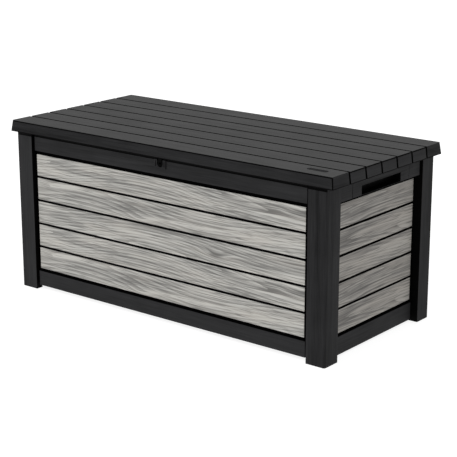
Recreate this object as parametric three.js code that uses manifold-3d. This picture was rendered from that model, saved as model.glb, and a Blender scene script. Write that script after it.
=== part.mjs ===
// Outdoor storage box: four corner legs, slatted walls between them, a planked lid hinged
// along its back edge on three pins, and a gas strut at each end that carries the lid.
//
// Millimetres, +Z up. The origin is on the ground under the middle of the box, +X runs along
// the length and the front faces -Y. The lid is modelled closed.

import * as THREE from "three";
import { mergeVertices } from "three/addons/utils/BufferGeometryUtils.js";
import Module from "manifold-3d";

const wasm = await Module();
wasm.setup();

// ---------------------------------------------------------------- driving dimensions

const FIT = 0.3; // gap kept between pieces that touch
const RESIN = 3; // wall of a moulded piece

// Box outline over the legs, and heights from the ground
const BODY_LENGTH = 1490;
const BODY_DEPTH = 688;
const WALL_TOP = 648;
const WALL_BOTTOM = 17;

// Legs, L-shaped in plan and hollow
const LEG_FACE_FRONT = 81; // width seen on the front and back
const LEG_FACE_SIDE = 79; // width seen on the ends
const LEG_RADIUS = 9; // outer corner

// Slats, five to a wall
const SLATS = 5;
const SLAT_GAP = 7;
const SLAT_GAP_ABOVE = 13; // below the upper apron
const SLAT_GAP_BELOW = 11.5; // above the lower apron
const SLAT_THICKNESS = 15.5;
const SLAT_CHAMFER = 1.5;
const SLAT_END_GAP = 14.5; // from a slat's end to the leg
const SLAT_RECESS_FRONT = 11.5; // slat face behind the leg face
const SLAT_RECESS_SIDE = 28.5;

// Aprons, the plain bands above and below the slats
const LOWER_APRON = 60; // height of each band
const UPPER_APRON = 77;
const APRON_RECESS = 8.5; // apron face behind the leg face
const LOW_APRON_RECESS_SIDE = 26.5;
const LOW_APRON_DROP_SIDE = 8.5; // the ends' lower aprons hang this far below the long walls'
const APRON_SEAM = 8.5; // open seam between an apron and the leg
const WEB = 3.7; // sheet behind the slats
const PANEL_RIBS = 6;

// Floor tray
const FLOOR_LEDGE = 7; // lip of each wall that the floor rests on
const FLOOR_HEIGHT = 34;
const FLOOR_RIBS_ACROSS = 9;
const FLOOR_RIBS_ALONG = 4;

// Lid
const LID_OVERHANG_END = 25.5; // skirt's lower edge beyond the legs
const LID_OVERHANG_FRONT = 9;
const LID_LAP = 10; // skirt's lower edge below the wall tops
const LID_SKIRT = 44;
const LID_WALL = 4;
const LID_DRAFT_END = 6;
const LID_DRAFT_FRONT = 5;
const LID_RADIUS = 6;
const PLANKS = 7;
const PLANK_GROOVE = 6;
const PLANK_GROOVE_DEPTH = 2.4;
const LINER = 3;
const LINER_MARGIN = 1.5; // between the liner's edge and the skirt
const LINER_RIBS = 7;
const LINER_RIB_WIDTH = 22;
const LINER_RIB_DEPTH = 5;
const LINER_RIB_MARGIN = 40; // rib ends from the walls
const BEAM_WIDTH = 60;
const BEAM_FROM_MIDDLE = 382;

// Hinges
const HINGE_SPACING = 480;
const HINGE_NAMES = ["left", "middle", "right"];
const HINGE_DROP = 8; // axis below the skirt's lower edge
const HINGE_BEHIND = 2; // axis behind the back legs' faces
const HINGE_LENGTH = 60;
const KNUCKLE_RADIUS = 6;
const PIN_RADIUS = 2.7;
const PIN_HEAD_RADIUS = 4.4;
const PIN_HEAD = 2;
const LEAF = 2.5;

// End handles
const HANDLE_WIDTH = 366;
const GRIP_WIDTH = 250;
const GRIP_HEIGHT = 34;
const GRIP_LIP = 8;

// Padlock hasp
const HASP_WIDTH = 54;
const HASP_HEIGHT = 32;
const HASP_DROP = 9; // below the skirt's lower edge
const HASP_PLATE = 3.5;
const HASP_OPENING = 26;
const HASP_SLIT = 2.4;
const TONGUE_WIDTH = 17;
const TONGUE_THICKNESS = 2.5;
const PADLOCK_HOLE = 9;

// Blank badge pad on the lid
const BADGE_LENGTH = 83;
const BADGE_WIDTH = 22;
const BADGE_HEIGHT = 1.4;
const BADGE_SEAT = 1.1; // depth of its recess in the lid
const BADGE_FROM_END = 104; // centre, from the lid's right end
const BADGE_FROM_FRONT = 60;

// Gas struts
const STRUT_INSET = 17; // strut axis from the end wall's inner face
const STRUT_BODY = { fromHinge: 216, belowHinge: 130 }; // lower pivot
const STRUT_LID = { fromHinge: 80, aboveHinge: 4 }; // upper pivot
const STRUT_TUBE_RADIUS = 8.5;
const STRUT_ROD_RADIUS = 4;
const STRUT_EYE = 10; // width of the lower eye
const STRUT_TUBE_END = 162; // tube's far end from the lower pivot
const STRUT_ROD_LENGTH = 168;
const STUD_RADIUS = 4;

// ---------------------------------------------------------------- derived places

const bodyX = BODY_LENGTH / 2;
const bodyY = BODY_DEPTH / 2;
const wallFrontDepth = SLAT_RECESS_FRONT + SLAT_THICKNESS + FIT + WEB;
const wallSideDepth = SLAT_RECESS_SIDE + SLAT_THICKNESS + FIT + WEB;
const innerX = bodyX - wallSideDepth;
const innerY = bodyY - wallFrontDepth;
const legInnerX = bodyX - LEG_FACE_FRONT;
const legInnerY = bodyY - LEG_FACE_SIDE;
const lowerApronTop = WALL_BOTTOM + LOWER_APRON;
const upperApronBottom = WALL_TOP - UPPER_APRON;
const firstSlat = lowerApronTop + SLAT_GAP_BELOW;
const slatField = upperApronBottom - SLAT_GAP_ABOVE - firstSlat;
const slatHeight = (slatField - (SLATS - 1) * SLAT_GAP) / SLATS;
const slatPitch = slatHeight + SLAT_GAP;
const lidLength = BODY_LENGTH + 2 * LID_OVERHANG_END;
const lidDepth = BODY_DEPTH + 2 * LID_OVERHANG_FRONT;
const skirtBottom = WALL_TOP - LID_LAP;
const lidTop = skirtBottom + LID_SKIRT;
const plankPitch = (lidDepth - 2 * LID_DRAFT_FRONT) / PLANKS;
const linerBottom = WALL_TOP + FIT;
const hingeY = bodyY + HINGE_BEHIND;
const hingeZ = skirtBottom - HINGE_DROP;
const floorBottom = WALL_BOTTOM + WEB + FIT;

// ---------------------------------------------------------------- finishes

function finish(color, roughness, metalness) {
  return () => new THREE.MeshStandardMaterial({ color, roughness, metalness });
}

const charcoalResin = finish(0x2c2c2c, 0.62, 0);
const lidResin = finish(0x4a4a4a, 0.58, 0);
const darkResin = finish(0x171717, 0.7, 0);
const greyWoodResin = finish(0xa6a49f, 0.75, 0);
const zincSteel = finish(0xb4b6b8, 0.35, 1);
const chromedSteel = finish(0xd2d4d6, 0.12, 1);
const blackPaint = finish(0x141414, 0.35, 0.4);

// ---------------------------------------------------------------- helpers

/** A manifold solid with the geometry's outer surface. */
function solid(geometry) {
  const bare = geometry.clone();
  bare.deleteAttribute("normal");
  bare.deleteAttribute("uv");
  const merged = mergeVertices(bare, 1e-4);
  return new wasm.Manifold(
    new wasm.Mesh({
      numProp: 3,
      vertProperties: new Float32Array(merged.attributes.position.array),
      triVerts: new Uint32Array(merged.index.array),
    }),
  );
}

/** The buffer geometry of a manifold solid. */
function surface(body) {
  const mesh = body.getMesh();
  const geometry = new THREE.BufferGeometry();
  const position = new THREE.BufferAttribute(new Float32Array(mesh.vertProperties), 3);
  geometry.setAttribute("position", position);
  geometry.setIndex(new THREE.BufferAttribute(new Uint32Array(mesh.triVerts), 1));
  geometry.computeVertexNormals();
  return geometry;
}

/** A box between two corners. */
function block(x0, x1, y0, y1, z0, z1) {
  const geometry = new THREE.BoxGeometry(x1 - x0, y1 - y0, z1 - z0);
  return geometry.translate((x0 + x1) / 2, (y0 + y1) / 2, (z0 + z1) / 2);
}

function shapeOf(points) {
  return new THREE.Shape(points.map(([u, v]) => new THREE.Vector2(u, v)));
}

function extrude(shape, depth) {
  return new THREE.ExtrudeGeometry(shape, { depth, bevelEnabled: false, curveSegments: 4 });
}

/** A section in the (Y, Z) plane, extruded from x0 to x1. */
function alongX(shape, x0, x1) {
  const turn = new THREE.Matrix4().makeBasis(
    new THREE.Vector3(0, 1, 0),
    new THREE.Vector3(0, 0, 1),
    new THREE.Vector3(1, 0, 0),
  );
  return extrude(shape, x1 - x0).applyMatrix4(turn).translate(x0, 0, 0);
}

/** A section in the (X, Z) plane, extruded from y0 to y1. */
function alongY(shape, y0, y1) {
  const turn = new THREE.Matrix4().makeBasis(
    new THREE.Vector3(1, 0, 0),
    new THREE.Vector3(0, 0, 1),
    new THREE.Vector3(0, -1, 0),
  );
  return extrude(shape, y1 - y0).applyMatrix4(turn).translate(0, y1, 0);
}

/** An outline in the (X, Y) plane, extruded from z0 to z1. */
function alongZ(shape, z0, z1) {
  return extrude(shape, z1 - z0).translate(0, 0, z0);
}

/** A round bar along X. */
function barX(radius, x0, x1, y, z, sides = 24) {
  const geometry = new THREE.CylinderGeometry(radius, radius, x1 - x0, sides);
  return geometry.rotateZ(Math.PI / 2).translate((x0 + x1) / 2, y, z);
}

/** A rectangle with rounded corners, centred on the origin. */
function roundedRectangle(width, height, radius) {
  const w = width / 2;
  const h = height / 2;
  const shape = new THREE.Shape();
  shape.moveTo(-w + radius, -h);
  shape.lineTo(w - radius, -h);
  shape.absarc(w - radius, -h + radius, radius, -Math.PI / 2, 0);
  shape.lineTo(w, h - radius);
  shape.absarc(w - radius, h - radius, radius, 0, Math.PI / 2);
  shape.lineTo(-w + radius, h);
  shape.absarc(-w + radius, h - radius, radius, Math.PI / 2, Math.PI);
  shape.lineTo(-w, -h + radius);
  shape.absarc(-w + radius, -h + radius, radius, Math.PI, Math.PI * 1.5);
  return shape;
}

function joined(geometries) {
  return geometries.map(solid).reduce((whole, piece) => whole.add(piece));
}

function cut(whole, geometries) {
  return geometries.map(solid).reduce((rest, piece) => rest.subtract(piece), whole);
}

/** Adds a named mesh to a group, keeping the geometry where it was drawn. */
function add(group, name, geometry, material) {
  const mesh = new THREE.Mesh(geometry, material());
  mesh.name = name;
  const centre = new THREE.Vector3();
  geometry.computeBoundingBox();
  geometry.boundingBox.getCenter(centre);
  geometry.translate(-centre.x, -centre.y, -centre.z);
  mesh.position.copy(centre).sub(group.position);
  group.add(mesh);
  return mesh;
}

// ---------------------------------------------------------------- legs

/** Plan of a leg for the +X +Y corner, shrunk inwards by a wall. */
function legPlan(sx, sy, wall) {
  const radius = Math.max(LEG_RADIUS - wall, 1);
  const x = bodyX - wall;
  const y = bodyY - wall;
  const corner = [];
  const steps = 5;
  for (let i = 0; i <= steps; i += 1) {
    const angle = (i / steps) * (Math.PI / 2);
    corner.push([x - radius + radius * Math.cos(angle), y - radius + radius * Math.sin(angle)]);
  }
  const plan = [
    [innerX + wall, legInnerY + wall],
    [x, legInnerY + wall],
    ...corner,
    [legInnerX + wall, y],
    [legInnerX + wall, innerY + wall],
    [innerX + wall, innerY + wall],
  ];
  return shapeOf(plan.map(([u, v]) => [sx * u, sy * v]));
}

/** A hollow leg, closed at the top and open at the foot. */
function leg(sx, sy) {
  const outer = solid(alongZ(legPlan(sx, sy, 0), 0, WALL_TOP));
  return surface(cut(outer, [alongZ(legPlan(sx, sy, RESIN), -1, WALL_TOP - RESIN)]));
}

// ---------------------------------------------------------------- wall panels

/**
 * Section of a wall as (distance in from the leg face, height): upper apron, web behind
 * the slats and lower apron are one moulded sheet with a ledge under the floor.
 */
function wallSection(upperRecess, lowerRecess, depth) {
  const web = depth - WEB;
  return [
    [upperRecess, WALL_TOP],
    [upperRecess, upperApronBottom],
    [web, upperApronBottom],
    [web, lowerApronTop],
    [lowerRecess, lowerApronTop],
    [lowerRecess, WALL_BOTTOM],
    [depth + FLOOR_LEDGE, WALL_BOTTOM],
    [depth + FLOOR_LEDGE, WALL_BOTTOM + WEB],
    [lowerRecess + WEB, WALL_BOTTOM + WEB],
    [lowerRecess + WEB, lowerApronTop - WEB],
    [depth, lowerApronTop - WEB],
    [depth, upperApronBottom + WEB],
    [upperRecess + WEB, upperApronBottom + WEB],
    [upperRecess + WEB, WALL_TOP - WEB],
    [depth, WALL_TOP - WEB],
    [depth, WALL_TOP],
  ];
}

/** Places of the stiffening ribs along a wall of half length reach. */
function ribPlaces(reach) {
  return Array.from({ length: PANEL_RIBS }, (_, i) => -reach + (2 * reach * i) / (PANEL_RIBS - 1));
}

/** Cuts the aprons back from the legs, leaving the web to reach them. */
function seamCuts(sideOf, apronReach, webReach, web) {
  const beyond = webReach + 1;
  const upper = [upperApronBottom - 1, WALL_TOP + 1];
  const lower = [WALL_BOTTOM - 1, lowerApronTop + 1];
  return [upper, lower].flatMap(([low, high]) => [
    sideOf(apronReach, beyond, -1, web, low, high),
    sideOf(-beyond, -apronReach, -1, web, low, high),
  ]);
}

/** A front (side = -1) or back (side = +1) wall. */
function longWall(side) {
  const webReach = legInnerX - FIT;
  const apronReach = legInnerX - APRON_SEAM;
  const depth = wallFrontDepth;
  const toY = (inward) => side * (bodyY - inward);
  const sideOf = (x0, x1, in0, in1, z0, z1) =>
    block(x0, x1, Math.min(toY(in0), toY(in1)), Math.max(toY(in0), toY(in1)), z0, z1);
  const section = wallSection(APRON_RECESS, APRON_RECESS, depth);
  const sheet = solid(alongX(shapeOf(section.map(([i, z]) => [toY(i), z])), -webReach, webReach));
  const web = depth - WEB;
  let wall = cut(sheet, seamCuts(sideOf, apronReach, webReach, web));
  for (const x of ribPlaces(apronReach - RESIN / 2)) {
    const half = RESIN / 2;
    const high = sideOf(x - half, x + half, APRON_RECESS, depth, upperApronBottom, WALL_TOP);
    const low = sideOf(x - half, x + half, APRON_RECESS, depth, WALL_BOTTOM, lowerApronTop);
    wall = wall.add(solid(high)).add(solid(low));
  }
  return wall;
}

function frontWall() {
  const top = skirtBottom - HASP_DROP;
  const half = HASP_OPENING / 2;
  const face = -bodyY + APRON_RECESS;
  const window = block(-half, half, face - 1, face + WEB + 1, top - HASP_HEIGHT + 6, top - 2);
  return surface(cut(longWall(-1), [window]));
}

/** A left (side = -1) or right (side = +1) end wall, with a seat for its handle. */
function endWall(side) {
  const webReach = legInnerY - FIT;
  const apronReach = legInnerY - APRON_SEAM;
  const depth = wallSideDepth;
  const toX = (inward) => side * (bodyX - inward);
  const sideOf = (y0, y1, in0, in1, z0, z1) =>
    block(Math.min(toX(in0), toX(in1)), Math.max(toX(in0), toX(in1)), y0, y1, z0, z1);
  const section = wallSection(APRON_RECESS, LOW_APRON_RECESS_SIDE, depth);
  const sheet = solid(alongY(shapeOf(section.map(([i, z]) => [toX(i), z])), -webReach, webReach));
  let wall = cut(sheet, seamCuts(sideOf, apronReach, webReach, depth - WEB));
  const half = RESIN / 2;
  const seat = HANDLE_WIDTH / 2 + FIT + half;
  for (const y of [-apronReach + half, -seat, seat, apronReach - half]) {
    const high = sideOf(y - half, y + half, APRON_RECESS, depth, upperApronBottom, WALL_TOP);
    wall = wall.add(solid(high));
  }
  for (const y of ribPlaces(apronReach - half)) {
    const low = sideOf(
      y - half, y + half, LOW_APRON_RECESS_SIDE, depth, WALL_BOTTOM, lowerApronTop,
    );
    wall = wall.add(solid(low));
  }
  const lip = sideOf(
    -apronReach, apronReach, LOW_APRON_RECESS_SIDE, LOW_APRON_RECESS_SIDE + WEB,
    WALL_BOTTOM - LOW_APRON_DROP_SIDE, WALL_BOTTOM + WEB,
  );
  wall = wall.add(solid(lip));
  const handleSeat = sideOf(
    -HANDLE_WIDTH / 2 - FIT, HANDLE_WIDTH / 2 + FIT, -1, depth - WEB,
    upperApronBottom - 1, WALL_TOP - WEB,
  );
  return surface(cut(wall, [handleSeat]));
}

// ---------------------------------------------------------------- slats

/** Section of a slat as (distance in from its face, height), with eased front edges. */
function slatSection(toWall, z) {
  const c = SLAT_CHAMFER;
  const points = [
    [c, z],
    [SLAT_THICKNESS, z],
    [SLAT_THICKNESS, z + slatHeight],
    [c, z + slatHeight],
    [0, z + slatHeight - c],
    [0, z + c],
  ];
  return shapeOf(points.map(([inward, height]) => [toWall(inward), height]));
}

/** A front or back slat: a moulded board, hollow behind. */
function longSlat(side, row) {
  const z = firstSlat + row * slatPitch;
  const reach = legInnerX - SLAT_END_GAP;
  const toY = (inward) => side * (bodyY - SLAT_RECESS_FRONT - inward);
  const board = solid(alongX(slatSection(toY, z), -reach, reach));
  const y = [toY(RESIN), toY(SLAT_THICKNESS + 1)].sort((a, b) => a - b);
  const pocket = block(
    -reach + RESIN, reach - RESIN, y[0], y[1], z + RESIN, z + slatHeight - RESIN,
  );
  return surface(cut(board, [pocket]));
}

/** An end-wall slat. */
function endSlat(side, row) {
  const z = firstSlat + row * slatPitch;
  const reach = legInnerY - SLAT_END_GAP;
  const toX = (inward) => side * (bodyX - SLAT_RECESS_SIDE - inward);
  const board = solid(alongY(slatSection(toX, z), -reach, reach));
  const x = [toX(RESIN), toX(SLAT_THICKNESS + 1)].sort((a, b) => a - b);
  const pocket = block(
    x[0], x[1], -reach + RESIN, reach - RESIN, z + RESIN, z + slatHeight - RESIN,
  );
  return surface(cut(board, [pocket]));
}

// ---------------------------------------------------------------- floor

/** Floor tray: a flat top on a grid of ribs. */
function floorPanel() {
  const x = innerX - FIT;
  const y = innerY - FIT;
  const top = floorBottom + FLOOR_HEIGHT;
  const under = top - RESIN;
  const pieces = [block(-x, x, -y, y, under, top)];
  const wide = RESIN / 2;
  for (let i = 0; i <= FLOOR_RIBS_ACROSS + 1; i += 1) {
    const at = -x + wide + ((2 * (x - wide)) / (FLOOR_RIBS_ACROSS + 1)) * i;
    pieces.push(block(at - wide, at + wide, -y, y, floorBottom, under + 1));
  }
  for (let i = 0; i <= FLOOR_RIBS_ALONG + 1; i += 1) {
    const at = -y + wide + ((2 * (y - wide)) / (FLOOR_RIBS_ALONG + 1)) * i;
    pieces.push(block(-x, x, at - wide, at + wide, floorBottom, under + 1));
  }
  return surface(joined(pieces));
}

// ---------------------------------------------------------------- handles

/** A moulded handle insert: a face plate with a deep finger pocket behind its slot. */
function handle(side) {
  const low = upperApronBottom;
  const high = WALL_TOP - WEB - FIT;
  const toX = (inward) => side * (bodyX - inward);
  const part = (y0, y1, in0, in1, z0, z1) =>
    block(Math.min(toX(in0), toX(in1)), Math.max(toX(in0), toX(in1)), y0, y1, z0, z1);
  const face = APRON_RECESS;
  const back = wallSideDepth - WEB - FIT - RESIN;
  const half = HANDLE_WIDTH / 2;
  const grip = GRIP_WIDTH / 2;
  const slotTop = low + GRIP_HEIGHT;
  const plate = part(-half, half, face, face + RESIN, low, high);
  const pieces = [
    part(-grip - RESIN, grip + RESIN, face + 1, back + RESIN, low, high),
    part(-grip, grip, face, face + GRIP_LIP, slotTop, slotTop + RESIN * 2),
  ];
  const pocket = part(-grip, grip, face + RESIN, back, low + RESIN, high - RESIN);
  const slot = part(-grip, grip, face - 1, face + RESIN + 1, low + RESIN, slotTop);
  const boxed = cut(solid(plate).add(solid(pieces[0])), [pocket, slot]);
  return surface(boxed.add(solid(pieces[1])));
}

// ---------------------------------------------------------------- hasp

/** U-shaped padlock plate on the front apron, open at the top for the lid's tongue. */
function haspPlate() {
  const top = skirtBottom - HASP_DROP;
  const bottom = top - HASP_HEIGHT;
  const half = HASP_WIDTH / 2;
  const opening = HASP_OPENING / 2;
  const shape = new THREE.Shape();
  shape.moveTo(-half, top);
  shape.lineTo(-half, bottom + 2);
  shape.absarc(-half + 2, bottom + 2, 2, Math.PI, Math.PI * 1.5);
  shape.lineTo(half - 2, bottom);
  shape.absarc(half - 2, bottom + 2, 2, -Math.PI / 2, 0);
  shape.lineTo(half, top);
  shape.lineTo(opening, top);
  shape.lineTo(opening, bottom + 4 + opening);
  for (let i = 1; i < 10; i += 1) {
    const angle = -(i / 10) * Math.PI;
    shape.lineTo(opening * Math.cos(angle), bottom + 4 + opening + opening * Math.sin(angle));
  }
  shape.lineTo(-opening, bottom + 4 + opening);
  shape.lineTo(-opening, top);
  const face = -bodyY + APRON_RECESS - FIT;
  const plate = solid(alongY(shape, face - HASP_PLATE, face));
  const at = (opening + half) / 2;
  const slits = [-at, at].map((x) =>
    block(x - HASP_SLIT / 2, x + HASP_SLIT / 2, face - HASP_PLATE - 1, face + 1,
      bottom + 6, top - 4),
  );
  return surface(cut(plate, slits));
}

/** Inner face of the lid's front or back skirt at a height. */
function skirtInner(z) {
  return lidDepth / 2 - LID_WALL - (LID_DRAFT_FRONT * (z - skirtBottom)) / LID_SKIRT;
}

/** Tongue that hangs from the lid's front skirt into the hasp plate. */
function haspTongue() {
  const front = bodyY - APRON_RECESS + FIT + HASP_PLATE - 0.2;
  const back = front - TONGUE_THICKNESS;
  const top = linerBottom - FIT * 2;
  const bottom = skirtBottom - HASP_DROP - HASP_HEIGHT + 9;
  const bend = skirtBottom + 1;
  const points = [
    [back, bottom],
    [front, bottom],
    [front, bend],
    [skirtInner(bend) - FIT, bend],
    [skirtInner(top) - FIT, top],
    [skirtInner(top) - FIT - TONGUE_THICKNESS, top],
    [skirtInner(bend + TONGUE_THICKNESS) - FIT - TONGUE_THICKNESS, bend + TONGUE_THICKNESS],
    [back, bend + TONGUE_THICKNESS],
  ];
  const half = TONGUE_WIDTH / 2;
  const tab = solid(alongX(shapeOf(points.map(([y, z]) => [-y, z])), -half, half));
  const hole = new THREE.CylinderGeometry(PADLOCK_HOLE / 2, PADLOCK_HOLE / 2, 20, 20);
  hole.translate(0, -(front + back) / 2, bottom + PADLOCK_HOLE);
  return surface(cut(tab, [hole]));
}

// ---------------------------------------------------------------- lid

/** Tapered tub, wide at the skirt's lower edge, shrunk by a wall on its sides. */
function lidBlock(wall, z0, z1) {
  const length = lidLength - 2 * wall;
  const depth = lidDepth - 2 * wall;
  const radius = Math.max(LID_RADIUS - wall, 1.5);
  const geometry = alongZ(roundedRectangle(length, depth, radius), z0, z1);
  const position = geometry.attributes.position;
  for (let i = 0; i < position.count; i += 1) {
    const rise = (position.getZ(i) - skirtBottom) / LID_SKIRT;
    position.setX(i, position.getX(i) * (1 - (2 * LID_DRAFT_END * rise) / length));
    position.setY(i, position.getY(i) * (1 - (2 * LID_DRAFT_FRONT * rise) / depth));
  }
  return geometry;
}

/** Planked lid: grooves run along the top and down both end skirts. */
function lidShell() {
  const outer = solid(lidBlock(0, skirtBottom, lidTop));
  const inner = lidBlock(LID_WALL, skirtBottom - 5, lidTop - LID_WALL);
  const grooves = [];
  const half = PLANK_GROOVE / 2;
  for (let i = 1; i < PLANKS; i += 1) {
    const y = (i - PLANKS / 2) * plankPitch;
    grooves.push(
      block(-lidLength, lidLength, y - half, y + half, lidTop - PLANK_GROOVE_DEPTH, lidTop + 9),
    );
    for (const side of [-1, 1]) {
      const slope = shapeOf([
        [lidLength / 2 - PLANK_GROOVE_DEPTH, skirtBottom - 1],
        [lidLength, skirtBottom - 1],
        [lidLength, lidTop + 1],
        [lidLength / 2 - LID_DRAFT_END - PLANK_GROOVE_DEPTH, lidTop + 1],
      ].map(([x, z]) => [side * x, z]));
      grooves.push(alongY(slope, y - half, y + half));
    }
  }
  return surface(cut(outer, [inner, ...grooves, badgeOutline(FIT, lidTop - BADGE_SEAT, 5)]));
}

/** Outline of the badge pad grown by a margin, from z0 upwards. */
function badgeOutline(margin, z0, height) {
  const outline = roundedRectangle(BADGE_LENGTH + 2 * margin, BADGE_WIDTH + 2 * margin, 9 + margin);
  const x = lidLength / 2 - BADGE_FROM_END;
  const y = -lidDepth / 2 + BADGE_FROM_FRONT;
  return alongZ(outline, 0, height).translate(x, y, z0);
}

/** Flat liner under the lid that rests on the walls, with cross ribs. */
function lidLiner() {
  const top = linerBottom + LINER;
  const x = lidLength / 2 - LID_WALL - LID_DRAFT_END * 0.4 - LINER_MARGIN;
  const y = skirtInner(top) - LINER_MARGIN - TONGUE_THICKNESS - FIT;
  const pieces = [block(-x, x, -y, y, linerBottom, top)];
  const ribReach = innerY - LINER_RIB_MARGIN;
  const span = innerX - 70;
  for (let i = 0; i < LINER_RIBS; i += 1) {
    const at = -span + (2 * span * i) / (LINER_RIBS - 1);
    const half = LINER_RIB_WIDTH / 2;
    pieces.push(
      block(at - half, at + half, -ribReach, ribReach, linerBottom - LINER_RIB_DEPTH, top - 1),
    );
  }
  return surface(joined(pieces));
}

/** Channel beam across the lid, between the liner and the lid's top. */
function lidBeam(x) {
  const bottom = linerBottom + LINER + FIT;
  const top = lidTop - LID_WALL - FIT;
  const y = skirtInner(top) - 30;
  const half = BEAM_WIDTH / 2;
  const hollow = half - RESIN;
  const outer = solid(block(x - half, x + half, -y, y, bottom, top));
  const channel = block(x - hollow, x + hollow, -y - 1, y + 1, bottom - 1, top - RESIN);
  return surface(cut(outer, [channel]));
}

/** Blank pad near the lid's front right corner, let into the plank. */
function badge() {
  return badgeOutline(0, lidTop - BADGE_SEAT + FIT, BADGE_HEIGHT);
}

// ---------------------------------------------------------------- hinges

/** Hinge leaf on the back wall, with a knuckle at each end. */
function boxLeaf(x) {
  const half = HINGE_LENGTH / 2;
  const middle = HINGE_LENGTH / 4;
  const face = bodyY - APRON_RECESS + FIT;
  const plate = block(x - half, x + half, face, face + LEAF, hingeZ - 34, hingeZ + 4);
  const pieces = [plate];
  for (const [x0, x1] of [[x - half, x - middle], [x + middle, x + half]]) {
    pieces.push(barX(KNUCKLE_RADIUS, x0, x1, hingeY, hingeZ));
    pieces.push(block(x0, x1, face + 1, hingeY - 2, hingeZ - KNUCKLE_RADIUS + 1, hingeZ - 1));
  }
  const bore = barX(PIN_RADIUS + FIT, x - half - 1, x + half + 1, hingeY, hingeZ);
  return surface(cut(joined(pieces), [bore]));
}

/** Hinge leaf on the lid's back skirt, with one knuckle in the middle. */
function lidLeaf(x) {
  const half = HINGE_LENGTH / 4 - FIT;
  const low = skirtBottom + 1;
  const high = linerBottom - FIT * 2;
  const points = [
    [hingeY - 2.5, hingeZ],
    [hingeY + 1.5, hingeZ],
    [hingeY + 1.5, skirtBottom - 1],
    [skirtInner(low) - FIT, low],
    [skirtInner(high) - FIT, high],
    [skirtInner(high) - FIT - LEAF, high],
    [hingeY - 2.5, skirtBottom + 3],
  ];
  const lug = solid(alongX(shapeOf(points), x - half, x + half));
  const barrel = solid(barX(KNUCKLE_RADIUS, x - half, x + half, hingeY, hingeZ));
  const bore = barX(PIN_RADIUS + FIT, x - half - 1, x + half + 1, hingeY, hingeZ);
  return surface(cut(lug.add(barrel), [bore]));
}

/** Hinge pin with a head at its left end, turned about its own axis. */
function hingePin(x) {
  const start = -HINGE_LENGTH / 2 - FIT;
  const profile = [
    [0, start - PIN_HEAD],
    [PIN_HEAD_RADIUS - 0.6, start - PIN_HEAD],
    [PIN_HEAD_RADIUS, start - PIN_HEAD + 0.6],
    [PIN_HEAD_RADIUS, start],
    [PIN_RADIUS, start],
    [PIN_RADIUS, HINGE_LENGTH / 2 + 1],
    [PIN_RADIUS - 0.8, HINGE_LENGTH / 2 + 1.8],
    [0, HINGE_LENGTH / 2 + 1.8],
  ];
  const points = profile.map(([r, h]) => new THREE.Vector2(r, h));
  const pin = new THREE.LatheGeometry(points, 20);
  return surface(solid(pin.rotateZ(-Math.PI / 2).translate(x, hingeY, hingeZ)));
}

// ---------------------------------------------------------------- gas struts

const strutX = innerX - STRUT_INSET;
const bodyPivot = new THREE.Vector2(hingeY - STRUT_BODY.fromHinge, hingeZ - STRUT_BODY.belowHinge);
const lidPivot = new THREE.Vector2(hingeY - STRUT_LID.fromHinge, hingeZ + STRUT_LID.aboveHinge);
const strutLength = bodyPivot.distanceTo(lidPivot);
const strutAngle = Math.atan2(lidPivot.y - bodyPivot.y, lidPivot.x - bodyPivot.x);

/** Lays a piece drawn up the Z axis from the lower pivot along the strut at one end. */
function layStrut(body, side) {
  const geometry = surface(body);
  geometry.rotateX(strutAngle - Math.PI / 2);
  return geometry.translate(side * strutX, bodyPivot.x, bodyPivot.y);
}

/** A turned piece up the Z axis from (radius, height) pairs that end on the axis. */
function turned(profile, sides = 24) {
  const points = profile.map(([r, h]) => new THREE.Vector2(r, h));
  return new THREE.LatheGeometry(points, sides).rotateX(Math.PI / 2);
}

/** Strut tube with the eye that turns on the end wall's stud. */
function strutCylinder(side) {
  const r = STRUT_TUBE_RADIUS;
  const bore = STRUT_ROD_RADIUS + FIT;
  const start = r + 4;
  const tube = turned([
    [0, start],
    [r - 1.5, start],
    [r, start + 1.5],
    [r, STRUT_TUBE_END - 1.5],
    [r - 1.5, STRUT_TUBE_END],
    [bore, STRUT_TUBE_END],
    [bore, start + 3],
    [0, start + 3],
  ]);
  const half = STRUT_EYE / 2;
  const eye = barX(r, -half, half, 0, 0);
  const neck = new THREE.CylinderGeometry(half - 0.5, half - 0.5, start + 1, 16);
  neck.rotateX(Math.PI / 2).translate(0, 0, (start + 1) / 2);
  const whole = joined([tube, eye, neck]);
  return layStrut(cut(whole, [barX(STUD_RADIUS + FIT, -half - 1, half + 1, 0, 0)]), side);
}

/** Strut rod with the end block that meets the lid's stud. */
function strutRod(side) {
  const r = STRUT_ROD_RADIUS;
  const low = strutLength - STRUT_ROD_LENGTH;
  const rod = turned([
    [0, low],
    [r - 0.8, low],
    [r, low + 0.8],
    [r, strutLength - 4],
    [0, strutLength - 4],
  ], 20);
  const half = STRUT_EYE / 2 + 2;
  const end = barX(STRUT_TUBE_RADIUS - 0.5, -half, half, 0, strutLength);
  return layStrut(joined([rod, end]), side);
}

/** Plate and stud on the end wall for a strut's lower eye. */
function strutBracket(side) {
  const wall = innerX - FIT;
  const eyeOuter = strutX - STRUT_EYE / 2 - FIT;
  const pieces = [
    block(wall - LEAF, wall, bodyPivot.x - 22, bodyPivot.x + 22, bodyPivot.y - 22, bodyPivot.y + 22),
    barX(STUD_RADIUS, eyeOuter - 1, wall - 1, bodyPivot.x, bodyPivot.y, 20),
    barX(STUD_RADIUS + 2.5, eyeOuter - 3, eyeOuter, bodyPivot.x, bodyPivot.y, 20),
    barX(STUD_RADIUS + 2.5, strutX + STRUT_EYE / 2 + FIT, wall - 1, bodyPivot.x, bodyPivot.y, 20),
  ];
  const body = joined(pieces);
  const geometry = surface(body);
  return side > 0 ? geometry : geometry.rotateZ(Math.PI).translate(0, 2 * bodyPivot.x, 0);
}

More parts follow.
